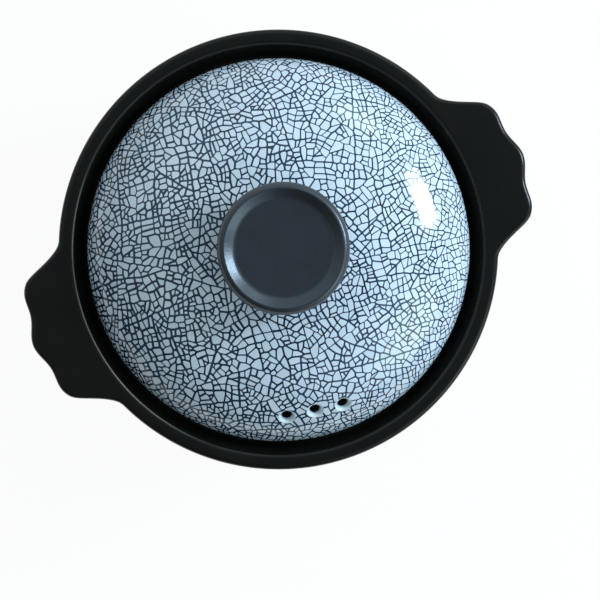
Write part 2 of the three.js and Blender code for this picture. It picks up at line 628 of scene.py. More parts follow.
@dataclass
class Pot:
    """The pot: a bowl on a foot ring, with a gallery, a flange and two ears."""

    rim: Rim = field(default_factory=Rim)
    ears: Ears = field(default_factory=Ears)
    wall: float = 0.01
    wall_draft: float = 0.003
    floor: float = 0.009
    corner_height: float = 0.045
    foot_radius: float = 0.042
    foot_width: float = 0.008
    foot_recess: float = 0.002
    foot_rounding: float = 0.001
    bare_rise: float = 0.0001
    seat_width: float = 0.0072
    seat_rounding: float = 0.001
    gallery_rounding: float = 0.002
    thin_and_highlight_core: float = 0.0005
    thin_and_highlight_reach: float = 0.00066
    highlight_azimuth: float = 182
    highlight_lean: tuple[float, float] = (0.7, 0.97)
    far_from_highlight_share: float = 0.08
    wiped_drop: float = 0.0009
    flange_thickness: float = 0.0085
    flange_rounding: float = 0.0028
    flange_cove: float = 0.0036
    segments: int = 288
    curve_steps: int = 30
    rounding_steps: int = 8

    @property
    def mouth_radius(self) -> float:
        """Radius of the cooking space at the lid's seat."""
        return self.rim.gallery_foot - self.seat_width

    @property
    def wall_top(self) -> float:
        """Radius of the outer wall under the flange."""
        return self.mouth_radius + self.wall

    def corners(self) -> list[Corner]:
        """The profile from the foot's centre, round the outside and down to the floor inside.

        Returns:
            The profile's corners.
        """
        rim = self.rim
        low_wall = self.wall_top - self.wall_draft
        foot_inner = self.foot_radius - self.foot_width
        underside = rim.pot_height - self.flange_thickness
        outer = Ellipse(self.foot_radius, self.corner_height, low_wall - self.foot_radius, self.corner_height)
        inner = Ellipse(
            self.foot_radius, self.corner_height, outer.reach - self.wall, self.corner_height - self.floor)
        return [
            Corner(0, self.foot_recess),
            Corner(foot_inner, self.foot_recess, self.foot_rounding),
            Corner(foot_inner + self.foot_recess, 0),
            *outer.corners(-90, 0, self.curve_steps),
            Corner(self.wall_top, underside, self.flange_cove),
            Corner(rim.flange_radius, underside, self.flange_rounding),
            Corner(rim.flange_radius, rim.pot_height, self.flange_rounding),
            Corner(rim.gallery_edge, rim.pot_height, self.gallery_rounding),
            Corner(rim.gallery_foot, rim.seat_height, self.seat_rounding),
            Corner(self.mouth_radius, rim.seat_height, self.seat_rounding),
            *inner.corners(0, -90, self.curve_steps),
            Corner(0, self.floor),
        ]

    def draw_ears(self, mesh: bpy.types.Mesh) -> None:
        """Crowd the mesh at the ears and draw them out of the flange.

        Args:
            mesh: The revolved pot, which is changed.
        """
        spots = places(mesh)
        rim = self.rim
        even = np.arctan2(spots[:, 1], spots[:, 0])
        angles = even - self.ears.crowding / 2 * np.sin(2 * even)
        radii = np.hypot(spots[:, 0], spots[:, 1])
        upper = spots[:, 2] > rim.pot_height - self.flange_thickness / 2
        above = radii > rim.gallery_edge + rim.flange_width / 2
        overhang = rim.flange_radius - self.flange_rounding - self.wall_top
        below = np.clip((radii - self.wall_top) / overhang, 0, 1)
        radii = radii + self.ears.reaches(angles) * np.where(upper, above, below)
        spots[:, 0] = radii * np.cos(angles)
        spots[:, 1] = radii * np.sin(angles)
        mesh.vertices.foreach_set("co", spots.ravel())
        mesh.update()

    def mark_thin_edge_and_highlight(self, mesh: bpy.types.Mesh) -> None:
        """Mark where the glaze runs thin along the gallery's upper edge, and paint a highlight there that is
        strongest on one side.

        Args:
            mesh: The pot, which gets the attribute.
        """
        spots = places(mesh)
        across = np.hypot(spots[:, 0], spots[:, 1]) - self.rim.gallery_edge
        apart = np.hypot(across, spots[:, 2] - self.rim.pot_height)
        marks = np.clip((self.thin_and_highlight_reach - apart) / (self.thin_and_highlight_reach - self.thin_and_highlight_core), 0, 1)
        lean = np.cos(np.arctan2(spots[:, 1], spots[:, 0]) - math.radians(self.highlight_azimuth))
        # Painted highlight: the line is brightest on the side where the edge faces the window, and weak
        # elsewhere.
        marks *= np.interp(lean, self.highlight_lean, (self.far_from_highlight_share, 1))
        layer = mesh.attributes.new(THIN_EDGE_AND_HIGHLIGHT, "FLOAT", "POINT")
        layer.data.foreach_set("value", marks.astype(np.float32))

    def sort_finishes(self, mesh: bpy.types.Mesh) -> None:
        """Bare the ring that the pot stands on and dull the gallery, where glaze is wiped off for the lid.

        Args:
            mesh: The pot, whose faces get their finishes.
        """
        rim = self.rim
        slack = self.seat_rounding / 2
        for face in mesh.polygons:
            spot = face.center
            within = self.mouth_radius - slack < spot.xy.length < rim.gallery_edge
            if spot.z < self.bare_rise:
                face.material_index = PotFinish.BARE.value
            elif within and rim.seat_height - slack < spot.z < rim.pot_height - self.wiped_drop:
                face.material_index = PotFinish.SEAT.value

    def build(self) -> bpy.types.Object:
        """Model and dress the pot.

        Returns:
            The pot's one piece.
        """
        piece = revolve("pot_stoneware", rounded(self.corners(), self.rounding_steps), self.segments)
        self.draw_ears(piece.data)
        self.mark_thin_edge_and_highlight(piece.data)
        for finish in (BLACK_GLAZE, BARE_CLAY, WIPED_GLAZE):
            piece.data.materials.append(finish.make())
        self.sort_finishes(piece.data)
        smooth(piece)
        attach(piece, Body.POT.value)
        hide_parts("pot_body")
        return piece


# The lid


def heading(turn: float) -> Vector:
    """The flat direction at an angle in radians."""
    return Vector((math.cos(turn), math.sin(turn)))


def edge_key(edge: Edge) -> Edge:
    """One name for an edge, whichever way it runs."""
    return min(edge), max(edge)


def sides(loop: Sequence[Any]) -> Iterable[tuple[Any, Any]]:
    """Each item of a loop with the one after it, the closing pair last."""
    return zip(loop, (*loop[1:], loop[0]))


def area(spots: Sequence[Vector]) -> float:
    """Area of a flat loop that runs counter-clockwise."""
    return sum(a.cross(b) for a, b in sides(spots)) / 2


def middle(spots: Sequence[Vector]) -> Vector:
    """Mean place of a loop's points."""
    return sum(spots, Vector((0, 0))) / len(spots)


@dataclass
class CrackNet:
    """The cracks of a crazed glaze on a flat disc, as cells.

    Long cracks come first and split the glaze. Later ones are shorter and end on the earlier ones, which
    is why most of them meet at a T. The cracks are drawn wider on one side, a painted shade where the dome
    turns from the light.
    """

    reach: float
    hollow: float
    margin: float = 1.05
    cell_area: float = 0.000015
    area_spread: float = 0.3
    patch_size: float = 0.022
    patch_spread: float = 0.3
    patch_level: float = 0.5
    tries: int = 5
    patience: int = 20
    off_centre: float = 0.3
    waste_area: float = 0.0002
    relax_share: float = 0.28
    crack_width: float = 0.00074
    shaded_side_azimuth: float = 188
    shaded_side_widening: float = 0.32
    corner_rounding: float = 0.00035
    width_spread: float = 0.35
    shortest_side: float = 0.0008
    sliver_share: float = 0.28
    straight_turn: float = 0.2
    longest_shift: float = 2.2
    inset_shares: tuple[float, ...] = (1, 0.6, 0.3, 0)
    sharp_turn: float = 0.25
    corner_share: float = 0.35
    waves: tuple[tuple[float, float], ...] = ((0.03, 0.0016), (0.009, 0.0005))
    wave_level: float = 3.7
    arc_steps: int = 256
    arc_room: float = 1.6
    seed: int = 7

    def __post_init__(self) -> None:
        """Start with no cracks."""
        self.dice = random.Random(self.seed)
        self.shaded_side_way = heading(math.radians(self.shaded_side_azimuth))
        self.points: list[Vector] = []
        self.widths: dict[Edge, float] = {}
        self.splits: dict[Edge, int] = {}
        self.borders: dict[int, float] = {}
        self.cells: list[list[int]] = []

    def spots(self, loop: Iterable[int]) -> list[Vector]:
        """The places of points, from their numbers."""
        return [self.points[i] for i in loop]

    def add_point(self, spot: Vector) -> int:
        """Keep a point and return its number."""
        self.points.append(spot)
        return len(self.points) - 1

    def add_split(self, edge: Edge, spot: Vector) -> int:
        """Put a point on an edge, so that the cells on both sides of it share the point.

        Args:
            edge: The numbers of the edge's two points.
            spot: Where the new point lies.

        Returns:
            The new point's number.
        """
        point = self.add_point(spot)
        self.splits[edge_key(edge)] = point
        for end in edge:
            self.widths[edge_key((end, point))] = self.widths[edge_key(edge)]
        return point

    def between(self, edge: Edge) -> list[int]:
        """The points that lie on an edge by now, in order.

        Args:
            edge: The numbers of the edge's two points.

        Returns:
            Numbers of the points between the two.
        """
        point = self.splits.get(edge_key(edge))
        if point is None:
            return []
        return [*self.between((edge[0], point)), point, *self.between((point, edge[1]))]

    def refined(self, loop: Sequence[int]) -> list[int]:
        """A cell's loop with every point that lies on its sides by now."""
        return [point for side in sides(loop) for point in (side[0], *self.between(side))]

    def shortest_way(self, spots: Sequence[Vector]) -> list[tuple[int, float]] | None:
        """The shortest of a few chance ways across a cell that leave no sliver.

        Args:
            spots: The cell's points.

        Returns:
            The numbers of the two sides that it meets and how far along each one it does, or None.
        """
        centre = middle(spots)
        ahead = [*spots[1:], spots[0]]
        whole = area(spots)
        ways = []
        for _ in range(self.tries * self.patience):
            start = centre.lerp(self.dice.choice(spots), self.dice.uniform(0, self.off_centre))
            along = heading(self.dice.uniform(0, math.pi))
            offsets = [along.cross(spot - start) for spot in spots]
            ends = [
                (i, near / (near - far))
                for i, (near, far) in enumerate(sides(offsets))
                if (near > 0) != (far > 0)
            ]
            if len(ends) != 2:
                continue
            first, last = (spots[i].lerp(ahead[i], share) for i, share in ends)
            half = area([first, *spots[ends[0][0] + 1:ends[1][0] + 1], last])
            if min(half, whole - half) > self.sliver_share * whole:
                ways.append(((last - first).length, ends))
            if len(ways) == self.tries:
                break
        return min(ways)[1] if ways else None

    def landing(self, edge: Edge, share: float) -> int:
        """The point where a crack ends on a side, which is an old one if one lies close by.

        Args:
            edge: The numbers of the side's two points.
            share: How far along the side the crack ends.

        Returns:
            The point's number.
        """
        start, end = self.spots(edge)
        length = (end - start).length
        if share * length < self.shortest_side:
            return edge[0]
        if (1 - share) * length < self.shortest_side:
            return edge[1]
        return self.add_split(edge, start.lerp(end, share))

    def parted(self, loop: list[int]) -> tuple[list[int], list[int]] | None:
        """Split a cell with a crack, if it is still too large.

        Args:
            loop: The cell.

        Returns:
            The two new cells, or None for a cell that stays whole.
        """
        spots = self.spots(loop)
        whole = area(spots)
        outside = all(spot.length > self.reach for spot in spots)
        patch = noise.noise(Vector((*(middle(spots) / self.patch_size), self.patch_level)))
        limit = self.cell_area * math.exp(self.patch_spread * patch + self.dice.gauss(0, self.area_spread))
        if whole < limit or (outside and whole < self.waste_area):
            return None
        way = self.shortest_way(spots)
        if way is None:
            return None
        edges = list(sides(loop))
        ends = tuple(self.landing(edges[i], share) for i, share in way)
        loop = self.refined(loop)
        low, high = sorted(loop.index(end) for end in ends)
        halves = (loop[low:high + 1], [*loop[high:], *loop[:low + 1]])
        if min(len(half) for half in halves) < 3:
            return None
        width = self.crack_width * self.dice.uniform(1 - self.width_spread, 1 + self.width_spread)
        self.widths[edge_key(ends)] = width
        return halves

    def grow(self) -> None:
        """Split a square that is larger than the disc until its cells are small enough."""
        half = self.reach * self.margin
        corners = ((-half, -half), (half, -half), (half, half), (-half, half))
        square = [self.add_point(Vector(corner)) for corner in corners]
        for side in sides(square):
            self.widths[edge_key(side)] = self.crack_width
        waiting = [square]
        while waiting:
            loop = self.refined(waiting.pop())
            halves = self.parted(loop)
            if halves is None:
                self.cells.append(loop)
            else:
                waiting.extend(halves)
        self.cells = [self.refined(loop) for loop in self.cells]

    def relax(self) -> None:
        """Draw every junction towards its neighbours, which rounds the cells."""
        near: dict[int, set[int]] = {}
        for a, b in (side for loop in self.cells for side in sides(loop)):
            near.setdefault(a, set()).add(b)
            near.setdefault(b, set()).add(a)
        moved = {
            point: self.points[point].lerp(middle(self.spots(sorted(others))), self.relax_share)
            for point, others in near.items()
        }
        for point, spot in moved.items():
            self.points[point] = spot

    def wander(self) -> None:
        """Bend the straight cracks a little, all together."""
        noise.seed_set(self.seed)
        for spot in self.points:
            shift = Vector((0, 0))
            for length, depth in self.waves:
                wave = noise.noise_vector(Vector((*(spot / length), self.wave_level)))
                shift += Vector(wave[:2]) * depth
            spot += shift

    def crossing(self, edge: Edge, radius: float) -> int:
        """Where an edge meets a circle about the disc's centre.

        Args:
            edge: The numbers of the edge's two points, one on each side of the circle.
            radius: The circle's radius.

        Returns:
            Number of the point on the circle, which both cells along the edge share.
        """
        edge = edge_key(edge)
        if edge not in self.splits:
            start, end = self.spots(edge)
            run = end - start
            square, slope = run.length_squared, start.dot(run)
            root = math.sqrt(max(slope**2 - square * (start.length_squared - radius**2), 0))
            shares = [(-slope - root) / square, (-slope + root) / square]
            share = min(shares, key=lambda value: abs(value - 0.5))
            point = self.add_split(edge, (start + run * share).normalized() * radius)
            self.borders[point] = radius
        return self.splits[edge]

    def arc(self, leave: int, enter: int) -> list[int]:
        """New points along the disc's edge between two of a cell's points.

        Args:
            leave: Number of the point where the arc starts.
            enter: Number of the point where it ends, further round counter-clockwise.

        Returns:
            Numbers of the points between them.
        """
        step = 2 * math.pi / self.arc_steps
        start, end = (math.atan2(spot.y, spot.x) for spot in self.spots((leave, enter)))
        end += 2 * math.pi if end < start else 0
        room = self.arc_room * self.crack_width / self.reach
        found = []
        for i in range(math.ceil(start / step), math.floor(end / step) + 1):
            turn = i * step
            if turn - start > room and end - turn > room:
                found.append(self.add_point(heading(turn) * self.reach))
                self.borders[found[-1]] = self.reach
        return found

    def trimmed(self, loop: list[int], radius: float, outer: bool) -> list[int]:
        """Cut a cell back to the disc's edge or to the hollow in its middle.

        Args:
            loop: The cell.
            radius: The circle's radius.
            outer: Whether the circle is the disc's edge.

        Returns:
            What is left of the cell, which may be nothing.
        """
        kept = {point for point in loop if (self.points[point].length < radius) == outer}
        if not kept or kept.issuperset(loop):
            return loop if kept else []
        start = next(i for i, point in enumerate(loop) if point in kept and loop[i - 1] not in kept)
        left: list[int] = []
        for here, there in sides([*loop[start:], *loop[:start]]):
            if here in kept:
                left.append(here)
            if (here in kept) == (there in kept):
                continue
            cut = self.crossing((here, there), radius)
            if outer and there in kept:
                left.extend(self.arc(left[-1], cut))
            left.append(cut)
        return left

    def depth(self, edge: Edge) -> float:
        """Half the width of the crack along an edge.

        Args:
            edge: The numbers of the edge's two points.

        Returns:
            The half width, which is 0 on a border of the disc.
        """
        first, second = (self.borders.get(end) for end in edge)
        if first is not None and first == second:
            return 0.0
        # Painted shade: cracks are drawn wider towards the shaded side of the lid.
        lean = middle(self.spots(edge)).dot(self.shaded_side_way) / self.reach
        return self.widths[edge_key(edge)] / 2 * (1 + self.shaded_side_widening * lean)

    def inset(self, loop: Sequence[int], share: float) -> list[Vector] | None:
        """The part of a cell that its cracks leave clear.

        Args:
            loop: The cell.
            share: How much of the cracks' width counts.

        Returns:
            One point for each of the loop's, or None where the cracks are too wide for the cell.
        """
        spots = self.spots(loop)
        runs = [b - a for a, b in sides(spots)]
        inward = [Vector((-run.y, run.x)).normalized() for run in runs]
        depths = [share * self.depth(side) for side in sides(loop)]
        clear = []
        for i, spot in enumerate(spots):
            before, after = inward[i - 1], inward[i]
            near, far = depths[i - 1], depths[i]
            turn = before.cross(after)
            if abs(turn) < self.straight_turn:
                shift = (before * near + after * far) / 2
            else:
                shift = Vector((near * after.y - far * before.y, far * before.x - near * after.x)) / turn
            longest = self.longest_shift * max(near, far)
            if shift.length > longest:
                shift = shift.normalized() * longest
            place = spot + shift
            if loop[i] in self.borders and longest > 0:
                place = place.normalized() * self.borders[loop[i]]
            clear.append(place)
        turned = any(run.dot(b - a) <= 0 for run, (a, b) in zip(runs, sides(clear)))
        return None if turned else clear

    def eased(self, loop: Sequence[int], clear: Sequence[Vector]) -> list[list[int]]:
        """Round the corners of a cell's clear part.

        Args:
            loop: The cell.
            clear: Its clear part, one point for each of the loop's.

        Returns:
            The numbers of one to three points for each of the loop's.
        """
        found = []
        for i, (point, spot) in enumerate(zip(loop, clear)):
            back, ahead = clear[i - 1] - spot, clear[(i + 1) % len(clear)] - spot
            turn = abs(back.normalized().cross(ahead.normalized()))
            if (spot - self.points[point]).length < WELD_DISTANCE:
                found.append([point])
            elif point in self.borders or turn < self.sharp_turn:
                found.append([self.add_point(spot)])
            else:
                first, last = (
                    spot + side.normalized() * min(self.corner_rounding, side.length * self.corner_share)
                    for side in (back, ahead)
                )
                corner = (first, (first + last + spot * 2) / 4, last)
                found.append([self.add_point(place) for place in corner])
        return found

    def faces(self) -> list[tuple[list[int], float, float]]:
        """Make the disc's faces: one for each cell's clear part and one for each side of a crack.

        Returns:
            Each face's point numbers, how much of a crack it is, and its tint.
        """
        faces: list[tuple[list[int], float, float]] = []
        for cell in self.cells:
            loop = self.trimmed(cell, self.reach, outer=True)
            loop = self.trimmed(loop, self.hollow, outer=False)
            if len(loop) < 3:
                continue
            tint = self.dice.random()
            insets = (self.inset(loop, share) for share in self.inset_shares)
            inner = self.eased(loop, next(filter(None, insets), self.spots(loop)))
            faces.append(([point for corner in inner for point in corner], 0.0, tint))
            strips = [(a, b, d[0], c[-1]) for (a, b), (c, d) in zip(sides(loop), sides(inner))]
            fans = [(point, *reversed(corner)) for point, corner in zip(loop, inner)]
            for face in (list(dict.fromkeys(points)) for points in (*strips, *fans)):
                if len(face) > 2:
                    faces.append((face, 1.0, tint))
        return faces


@dataclass(frozen=True)
class Patch:
    """A round patch of a piece's own texture map."""

    across: float
    up: float
    radius: float

    def spot(self, way: Vector, share: float) -> Point:
        """A place on the patch, from its direction and its share of the way to the patch's edge."""
        shift = way.normalized() * (self.radius * share)
        return (self.across + shift.x, self.up + shift.y)


@dataclass(frozen=True)
class SteamHoles:
    """A row of flared holes through the lid."""

    count: int = 3
    radius: float = 0.0024
    pitch: float = 0.0133
    row_inset: float = 0.0135
    mouth_radius: float = 0.0045
    mouth_depth: float = 0.0026
    flare_end: float = 103
    segments: int = 56
    curve_steps: int = 12
    patches: tuple[Patch, ...] = (
        Patch(0.955, 0.045, 0.04),
        Patch(0.955, 0.135, 0.04),
        Patch(0.865, 0.045, 0.04),
    )

    def profile(self, depth: float) -> list[Point]:
        """One hole's cutter, with its mouth at height 0.

        Args:
            depth: How far the bore runs down.

        Returns:
            Points of radius and height.
        """
        curve = Ellipse(
            self.mouth_radius, -self.mouth_depth, self.mouth_radius - self.radius, self.mouth_depth)
        flare = curve.corners(180, self.flare_end, self.curve_steps)
        rise = self.mouth_depth / 2
        run = (flare[-1].place - flare[-2].place).normalized()
        top = flare[-1].place + run * (rise / run.y)
        points = [(corner.radius, corner.height) for corner in flare]
        return [(0, -depth), (self.radius, -depth), *points, (top.x, top.y), (0, top.y)]

    def cutter(self, number: int, depth: float) -> bpy.types.Object:
        """Model one hole's cutter, with its mouth at the origin.

        Args:
            number: Which hole of the row it is.
            depth: How far the bore runs down.

        Returns:
            The cutter, with its patch of the lid's map.
        """
        piece = revolve("steam_hole", self.profile(depth), self.segments)
        mesh = piece.data
        bake = mesh.uv_layers.new(name=BAKE_MAP)
        low, high = mesh.vertices[0].co.z, max(vert.co.z for vert in mesh.vertices)
        for loop in mesh.loops:
            spot = mesh.vertices[loop.vertex_index].co
            share = (spot.z - low) / (high - low)
            bake.data[loop.index].uv = self.patches[number].spot(spot.xy, (1 + share) / 2)
        return piece


@dataclass
class Lid:
    """The lid: a dome of pale crackle glaze with three steam holes, and a land for the knob."""

    rim: Rim = field(default_factory=Rim)
    holes: SteamHoles = field(default_factory=SteamHoles)
    rise: float = 0.0353
    edge_height: float = 0.0024
    edge_rounding: float = 0.0012
    foot_width: float = 0.005
    thickness: float = 0.0065
    turn: float = 9.2
    land_radius: float = 0.0236
    vent_radius: float = 0.003
    face_patch: Patch = Patch(0.46, 0.46, 0.455)
    under_patch: Patch = Patch(0.88, 0.88, 0.118)
    land_patch: Patch = Patch(0.045, 0.955, 0.04)
    table_steps: int = 2000
    curve_steps: int = 26
    rounding_steps: int = 6

    def __post_init__(self) -> None:
        """Measure the dome from its top to its edge."""
        turns = np.linspace(0, math.pi / 2, self.table_steps + 1)
        self.table_radius = self.rim.lid_radius * np.sin(turns)
        heights = self.rise * np.cos(turns)
        steps = np.hypot(np.diff(self.table_radius), np.diff(heights))
        self.table_run = np.concatenate(([0.0], np.cumsum(steps)))

    @property
    def equator(self) -> float:
        """Height of the dome's widest ring."""
        return self.rim.seat_height + self.edge_height

    def height(self, radius: float) -> float:
        """Height of the outer face at a distance from the axis."""
        return self.equator + self.rise * math.sqrt(max(1 - (radius / self.rim.lid_radius) ** 2, 0))

    def normal(self, spot: Vector) -> Vector:
        """The outer face's direction at a point on it."""
        flat = self.rim.lid_radius**2
        return Vector((spot.x / flat, spot.y / flat, (spot.z - self.equator) / self.rise**2)).normalized()

    def run(self, radius: float) -> float:
        """Distance from the top along the dome to a distance from the axis."""
        return float(np.interp(radius, self.table_radius, self.table_run))

    def lifted(self, spot: Vector) -> Vector:
        """Lay a point of the flat disc on the dome.

        Args:
            spot: Point whose distance from the middle is the distance along the dome.

        Returns:
            The place on the dome.
        """
        radius = float(np.interp(spot.length, self.table_run, self.table_radius))
        flat = spot.normalized() * radius
        return Vector((flat.x, flat.y, self.height(radius)))

    def rings(self) -> list[tuple[float, float, int]]:
        """The rest of the lid from its edge, over the foot and the underside, up the vent to the land.

        Returns:
            Radius, height and finish of each ring.
        """
        seat = self.rim.seat_height
        inner_reach = self.rim.lid_radius - self.foot_width
        land = self.height(self.land_radius)
        foot = [
            Corner(self.rim.lid_radius, self.equator),
            Corner(self.rim.lid_radius, seat, self.edge_rounding),
            Corner(inner_reach, seat),
        ]
        dome = Ellipse(0, seat, inner_reach, land - self.thickness - seat)
        vent = math.degrees(math.acos(self.vent_radius / inner_reach))
        under = dome.corners(0, vent, self.curve_steps)
        return [
            *((*point, LidFinish.CRACKLE.value) for point in rounded(foot, self.rounding_steps)[1:-1]),
            (inner_reach, seat, LidFinish.BARE.value),
            *((corner.radius, corner.height, LidFinish.PALE.value) for corner in under[1:]),
            (self.vent_radius, land, LidFinish.PALE.value),
        ]

    def build_disc(self) -> bmesh.types.BMesh:
        """Lay the crackled disc on the dome.

        Returns:
            The outer face, with its crack and tint attributes and its bake map.
        """
        net = CrackNet(reach=self.run(self.rim.lid_radius), hollow=self.run(self.land_radius))
        net.grow()
        net.relax()
        net.wander()
        faces, cracks, tints = zip(*net.faces())
        used = sorted({point for face in faces for point in face})
        number = {point: i for i, point in enumerate(used)}
        LOG.info("lid: %d cells and sides of cracks", len(faces))
        mesh = bpy.data.meshes.new("lid_disc")
        spots = [self.lifted(spot) for spot in net.spots(used)]
        mesh.from_pydata(spots, [], [[number[point] for point in face] for face in faces])
        for name, values in ((CRACK_MARK, cracks), (CELL_TINT, tints)):
            mesh.attributes.new(name, "FLOAT", "FACE").data.foreach_set("value", values)
        bake = mesh.uv_layers.new(name=BAKE_MAP)
        for loop in mesh.loops:
            flat = net.points[used[loop.vertex_index]]
            bake.data[loop.index].uv = self.face_patch.spot(flat, flat.length / net.reach)
        disc = bmesh.new()
        disc.from_mesh(mesh)
        bpy.data.meshes.remove(mesh)
        return disc

    def close(self, disc: bmesh.types.BMesh) -> None:
        """Carry the disc's edge on round the lid and join it to the hollow under the knob.

        Args:
            disc: The outer face, which becomes a closed lid.
        """
        half_way = (self.rim.lid_radius + self.land_radius) / 2
        open_edges = [edge for edge in disc.edges if edge.is_boundary]
        outer = [edge for edge in open_edges if edge.verts[0].co.xy.length > half_way]
        inner = [edge for edge in open_edges if edge.verts[0].co.xy.length < half_way]
        bake = disc.loops.layers.uv[BAKE_MAP]
        rings = self.rings()
        for i, (radius, height, finish) in enumerate(rings):
            grown = bmesh.ops.extrude_edge_only(disc, edges=outer)["geom"]
            fresh = {item for item in grown if isinstance(item, bmesh.types.BMVert)}
            for vert in fresh:
                flat = vert.co.xy.normalized() * radius
                vert.co = (flat.x, flat.y, height)
            for face in (item for item in grown if isinstance(item, bmesh.types.BMFace)):
                face.material_index = finish
                for loop in face.loops:
                    left = len(rings) - i - (loop.vert in fresh)
                    loop[bake].uv = self.under_patch.spot(loop.vert.co.xy, (1 + left) / (1 + len(rings)))
            edges = [item for item in grown if isinstance(item, bmesh.types.BMEdge)]
            outer = [edge for edge in edges if edge.verts[0] in fresh and edge.verts[1] in fresh]
        for face in bmesh.ops.bridge_loops(disc, edges=[*outer, *inner])["faces"]:
            face.material_index = LidFinish.PALE.value
            for loop in face.loops:
                flat = loop.vert.co.xy
                loop[bake].uv = self.land_patch.spot(flat, flat.length / self.land_radius)
        bmesh.ops.recalc_face_normals(disc, faces=disc.faces)

    def cut_holes(self, piece: bpy.types.Object) -> None:
        """Cut the steam holes.

        Args:
            piece: The lid, which is changed.
        """
        row = self.rim.lid_radius - self.holes.row_inset
        for i in range(self.holes.count):
            along = (i - (self.holes.count - 1) / 2) * self.holes.pitch
            spot = Vector((along, -row, self.height(math.hypot(along, row))))
            cutter = self.holes.cutter(i, self.thickness + self.foot_width)
            for material in piece.data.materials:
                cutter.data.materials.append(material)
            for face in cutter.data.polygons:
                # The bore below the mouth gets the painted shade; the flare keeps the pale glaze.
                flared = face.center.z > -self.holes.mouth_depth
                face.material_index = (LidFinish.PALE if flared else LidFinish.BORE).value
            turn = Vector((0, 0, 1)).rotation_difference(self.normal(spot)).to_matrix().to_4x4()
            cutter.data.transform(Matrix.Translation(spot) @ turn)
            activate(piece)
            boolean = piece.modifiers.new("steam hole", "BOOLEAN")
            boolean.operation = "DIFFERENCE"
            boolean.solver = "EXACT"
            boolean.material_mode = "INDEX"
            boolean.object = cutter
            bpy.ops.object.modifier_apply(modifier=boolean.name)
            bpy.data.objects.remove(cutter)

    def polish(self, piece: bpy.types.Object) -> None:
        """Give the dome its true directions, so that its small faces shine as one surface.

        Args:
            piece: The lid, which is changed.
        """
        smooth(piece)
        mesh = piece.data
        normals = [Vector((0, 0, 0))] * len(mesh.loops)
        for face in mesh.polygons:
            if face.material_index != LidFinish.CRACKLE.value or face.center.z < self.equator:
                continue
            for loop in face.loop_indices:
                normals[loop] = self.normal(mesh.vertices[mesh.loops[loop].vertex_index].co)
        mesh.normals_split_custom_set(normals)

    def build(self) -> bpy.types.Object:
        """Model and dress the lid.

        Returns:
            The lid's one piece.
        """
        disc = self.build_disc()
        self.close(disc)
        mesh = bpy.data.meshes.new("lid_stoneware")
        disc.to_mesh(mesh)
        disc.free()
        piece = bpy.data.objects.new("lid_stoneware", mesh)
        bpy.context.scene.collection.objects.link(piece)
        for finish in (CRACKLE_GLAZE, PALE_GLAZE, BARE_CLAY, BORE_PAINTED_SHADE):
            mesh.materials.append(finish.make())
        self.cut_holes(piece)
        self.polish(piece)
        piece.data.transform(Matrix.Rotation(-math.radians(self.turn), 4, "Z"))
        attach(piece, Body.LID.value)
        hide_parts("lid_dome")
        return piece


@dataclass
class Knob:
    """The knob: a tapered stub with a shallow dish, hollow underneath, on the lid's land."""

    lid: Lid
    height: float = 0.024
    radius: float = 0.0295
    base_radius: float = 0.0226
    foot_width: float = 0.007
    turn_height: float = 0.016
    lip_drop: float = 0.004
    lip: float = 0.0031
    lip_rounding: float = 0.0008
    dish_depth: float = 0.0025
    dish_flare: float = 0.0043
    dish_rounding: float = 0.0012
    floor: float = 0.005
    segments: int = 160
    flank_steps: int = 24
    rounding_steps: int = 8

    def corners(self) -> list[Corner]:
        """The profile from the hollow's ceiling, round the outside and into the dish.

        Returns:
            The profile's corners.
        """
        base = self.lid.height(self.lid.land_radius)
        top = base + self.height
        hollow = self.base_radius - self.foot_width
        dish_floor = top - self.dish_depth
        lip_radius = self.radius - self.lip
        flank = bend(
            Vector((self.base_radius, base)),
            Vector((self.radius, base + self.turn_height)),
            Vector((self.radius, top - self.lip_drop)),
            self.flank_steps,
        )
        shoulder = Ellipse(lip_radius, top - self.lip_drop, self.lip, self.lip_drop)
        return [
            Corner(0, dish_floor - self.floor),
            Corner(hollow, dish_floor - self.floor, self.dish_rounding),
            Corner(hollow, base),
            *(Corner(*point) for point in flank[:-1]),
            *shoulder.corners(0, 90, self.flank_steps)[:-1],
            Corner(lip_radius, top, self.lip_rounding),
            Corner(lip_radius - self.dish_flare, dish_floor, self.dish_rounding),
            Corner(0, dish_floor),
        ]

    def build(self) -> bpy.types.Object:
        """Model and dress the knob.

        Returns:
            The knob's one piece.
        """
        piece = revolve("knob_stoneware", rounded(self.corners(), self.rounding_steps), self.segments)
        piece.data.materials.append(SATIN_GLAZE.make())
        smooth(piece)
        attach(piece, Body.LID.value)
        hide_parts("lid_knob")
        return piece


# Stage


def aloft(azimuth: float, elevation: float) -> Vector:
    """The direction in the sky at an azimuth from +X and an elevation, both in degrees."""
    turn, lift = math.radians(azimuth), math.radians(elevation)
    return Vector((math.cos(lift) * math.cos(turn), math.cos(lift) * math.sin(turn), math.sin(lift)))


@dataclass(frozen=True)
class SoftBox:
    """A rectangular lamp that faces the pot. Angles in degrees, azimuth from +X."""

    name: str
    azimuth: float
    elevation: float
    distance: float
    width: float
    height: float
    power: float
    colour: Colour

    def place(self, target: Vector) -> None:
        """Set up the lamp.

        Args:
            target: What the lamp faces.
        """
        lamp = bpy.data.lights.new(self.name, "AREA")
        lamp.shape = "RECTANGLE"
        lamp.size = self.width
        lamp.size_y = self.height
        lamp.energy = self.power
        lamp.color = self.colour
        stand = bpy.data.objects.new(self.name, lamp)
        bpy.context.scene.collection.objects.link(stand)
        away = aloft(self.azimuth, self.elevation)
        stand.location = target + away * self.distance
        stand.rotation_euler = (-away).to_track_quat("-Z", "Y").to_euler()


@dataclass(frozen=True)
class Glow:
    """A soft patch of brighter sky, which the lid's glaze mirrors as a veil. Angles in degrees."""

    azimuth: float
    elevation: float
    core: float
    reach: float
    tone: Colour

    @property
    def limits(self) -> tuple[float, float, float, float]:
        """Cosines at the patch's border and at its core, with the share of its tone at each."""
        return math.cos(math.radians(self.reach)), math.cos(math.radians(self.core)), 0.0, 1.0


